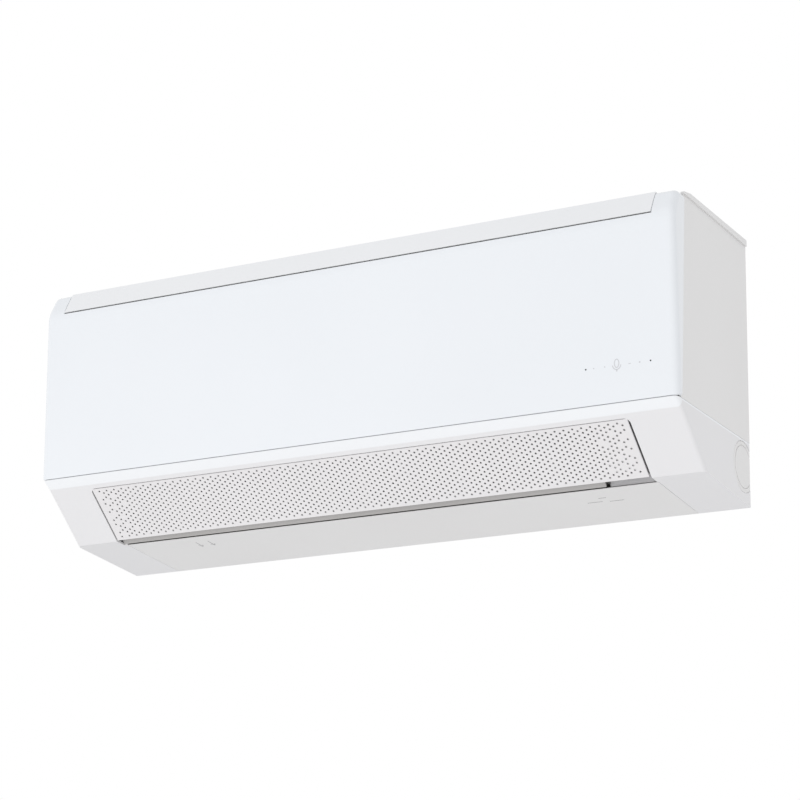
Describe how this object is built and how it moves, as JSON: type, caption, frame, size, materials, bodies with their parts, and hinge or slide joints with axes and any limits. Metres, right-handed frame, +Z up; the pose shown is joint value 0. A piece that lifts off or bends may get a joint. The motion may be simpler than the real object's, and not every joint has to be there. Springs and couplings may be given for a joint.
{
  "type": "mini split indoor unit",
  "caption": "Wall-mounted mini split indoor unit with a lifting front panel, perforated outlet louver, cross-flow fan, coil, filters and swinging vanes.",
  "frame": {"origin": "on the wall, in the middle of the wall plate's four screw holes, 190 mm above the underside's rear edge", "axes": "+X to the right as seen from the room, +Y into the wall, +Z up"},
  "size_m": [0.824, 0.2143, 0.3138],
  "materials": {
    "white_gloss": "smooth gloss",
    "white_satin": "fine satin grain",
    "trim_white": "gloss",
    "inner_white": "matt moulding",
    "foam_white": "beaded foam",
    "galvanised": "spangled zinc",
    "aluminium_fin": "bright fins",
    "copper": "drawn tube",
    "brass": "turned",
    "fan_grey": "satin",
    "black_plastic": "matt",
    "vane_white": "satin",
    "shaft_steel": "ground",
    "rubber": "matt",
    "motor_steel": "zinc plate",
    "board_green": "solder mask",
    "parts_mixed": "moulded cases",
    "clear_guide": "clear",
    "filter_blue": "satin",
    "filter_net": "fine net"
  },
  "bodies": {
    "root": {"bearing_bush": "rubber", "bearing_housing": "black_plastic", "board_parts": "parts_mixed", "bottom_cover": "white_satin", "casing_cover": "white_satin", "casing_screws": "shaft_steel", "chassis": "inner_white", "coil_front": "aluminium_fin", "coil_rear": "aluminium_fin", "coil_top": "aluminium_fin", "control_board": "board_green", "display_board": "board_green", "drain_plug": "rubber", "drip_tray": "foam_white", "duct_ends": "inner_white", "electric_box": "inner_white", "electric_box_cover": "galvanised", "fan_motor": "motor_steel", "flare_nuts": "brass", "front_frame": "inner_white", "light_guide": "clear_guide", "liquid_pipe": "copper", "louver_motor": "motor_steel", "lower_casing": "white_satin", "motor_cover": "inner_white", "pipe_clamp": "black_plastic", "pipe_knockouts": "white_satin", "recess_trim": "trim_white", "return_bends": "copper", "suction_pipe": "copper", "terminal_block": "black_plastic", "top_grille": "white_satin", "tube_sheets": "galvanised", "u_bends": "copper", "vane_motors": "motor_steel", "wall_plate": "galvanised"},
    "front_panel": {"front_panel": "white_gloss", "panel_liner": "inner_white", "panel_hinge_pins": "shaft_steel"},
    "louver": {"louver_skin": "white_satin", "louver_carrier": "vane_white"},
    "fan": {"fan_wheel": "fan_grey", "fan_shaft": "shaft_steel"},
    "filter_left": {"filter_frame_left": "filter_blue", "filter_mesh_left": "filter_net"},
    "filter_right": {"filter_frame_right": "filter_blue", "filter_mesh_right": "filter_net"},
    "button": {"emergency_button": "trim_white"},
    "link_left": {"link_bar_left": "vane_white"},
    "link_right": {"link_bar_right": "vane_white"},
    "vane_1": {"vane_1": "vane_white"},
    "vane_2": {"vane_2": "vane_white"},
    "vane_3": {"vane_3": "vane_white"},
    "vane_4": {"vane_4": "vane_white"},
    "vane_5": {"vane_5": "vane_white"},
    "vane_6": {"vane_6": "vane_white"},
    "vane_7": {"vane_7": "vane_white"},
    "vane_8": {"vane_8": "vane_white"},
    "vane_9": {"vane_9": "vane_white"},
    "vane_10": {"vane_10": "vane_white"}
  },
  "joints": [
    {"name": "panel_hinge", "type": "hinge", "parent": "root", "child": "front_panel", "pos_m": [0, -0.186, 0.1145], "axis": [-1, 0, 0], "range_deg": [0, 60]},
    {"name": "louver_hinge", "type": "hinge", "parent": "root", "child": "louver", "pos_m": [0, -0.1274, -0.17002], "axis": [1, 0, 0], "range_deg": [0, 75]},
    {"name": "fan_spin", "type": "hinge", "parent": "root", "child": "fan", "pos_m": [0, -0.097, -0.072], "axis": [1, 0, 0], "continuous": true},
    {"name": "filter_left_slide", "type": "slide", "parent": "root", "child": "filter_left", "axis": [0, 0, 1], "range_m": [0, 0.19]},
    {"name": "filter_right_slide", "type": "slide", "parent": "root", "child": "filter_right", "axis": [0, 0, 1], "range_m": [0, 0.19]},
    {"name": "button_press", "type": "slide", "parent": "root", "child": "button", "axis": [0, 1, 0], "range_m": [0, 0.0015], "stiffness_N_per_m": 400, "springref_m": -0.001},
    {"name": "vane_1_swing", "type": "hinge", "parent": "root", "child": "vane_1", "pos_m": [-0.31957, -0.09025, -0.1496], "axis": [0, -0.6895, 0.7243], "range_deg": [-40, 40]},
    {"name": "vane_2_swing", "type": "hinge", "parent": "root", "child": "vane_2", "pos_m": [-0.25572, -0.09025, -0.1496], "axis": [0, -0.6895, 0.7243], "range_deg": [-40, 40]},
    {"name": "vane_3_swing", "type": "hinge", "parent": "root", "child": "vane_3", "pos_m": [-0.19187, -0.09025, -0.1496], "axis": [0, -0.6895, 0.7243], "range_deg": [-40, 40]},
    {"name": "vane_4_swing", "type": "hinge", "parent": "root", "child": "vane_4", "pos_m": [-0.12802, -0.09025, -0.1496], "axis": [0, -0.6895, 0.7243], "range_deg": [-40, 40]},
    {"name": "vane_5_swing", "type": "hinge", "parent": "root", "child": "vane_5", "pos_m": [-0.06417, -0.09025, -0.1496], "axis": [0, -0.6895, 0.7243], "range_deg": [-40, 40]},
    {"name": "link_left_pivot", "type": "hinge", "parent": "vane_3", "child": "link_left", "pos_m": [-0.19187, -0.08562, -0.13415], "axis": [0, -0.6895, 0.7243], "range_deg": [-60, 60]},
    {"name": "vane_6_swing", "type": "hinge", "parent": "root", "child": "vane_6", "pos_m": [-0.00032, -0.09025, -0.1496], "axis": [0, -0.6895, 0.7243], "range_deg": [-40, 40]},
    {"name": "vane_7_swing", "type": "hinge", "parent": "root", "child": "vane_7", "pos_m": [0.06352, -0.09025, -0.1496], "axis": [0, -0.6895, 0.7243], "range_deg": [-40, 40]},
    {"name": "vane_8_swing", "type": "hinge", "parent": "root", "child": "vane_8", "pos_m": [0.12737, -0.09025, -0.1496], "axis": [0, -0.6895, 0.7243], "range_deg": [-40, 40]},
    {"name": "vane_9_swing", "type": "hinge", "parent": "root", "child": "vane_9", "pos_m": [0.19123, -0.09025, -0.1496], "axis": [0, -0.6895, 0.7243], "range_deg": [-40, 40]},
    {"name": "vane_10_swing", "type": "hinge", "parent": "root", "child": "vane_10", "pos_m": [0.25507, -0.09025, -0.1496], "axis": [0, -0.6895, 0.7243], "range_deg": [-40, 40]},
    {"name": "link_right_pivot", "type": "hinge", "parent": "vane_8", "child": "link_right", "pos_m": [0.12737, -0.08562, -0.13415], "axis": [0, -0.6895, 0.7243], "range_deg": [-60, 60]}
  ],
  "couplings": [
    {"joint": "vane_1_swing", "follows": "vane_3_swing", "ratio": 1},
    {"joint": "vane_2_swing", "follows": "vane_3_swing", "ratio": 1},
    {"joint": "vane_4_swing", "follows": "vane_3_swing", "ratio": 1},
    {"joint": "vane_5_swing", "follows": "vane_3_swing", "ratio": 1},
    {"joint": "link_left_pivot", "follows": "vane_3_swing", "ratio": -1},
    {"joint": "vane_6_swing", "follows": "vane_8_swing", "ratio": 1},
    {"joint": "vane_7_swing", "follows": "vane_8_swing", "ratio": 1},
    {"joint": "vane_9_swing", "follows": "vane_8_swing", "ratio": 1},
    {"joint": "vane_10_swing", "follows": "vane_8_swing", "ratio": 1},
    {"joint": "link_right_pivot", "follows": "vane_8_swing", "ratio": -1}
  ]
}
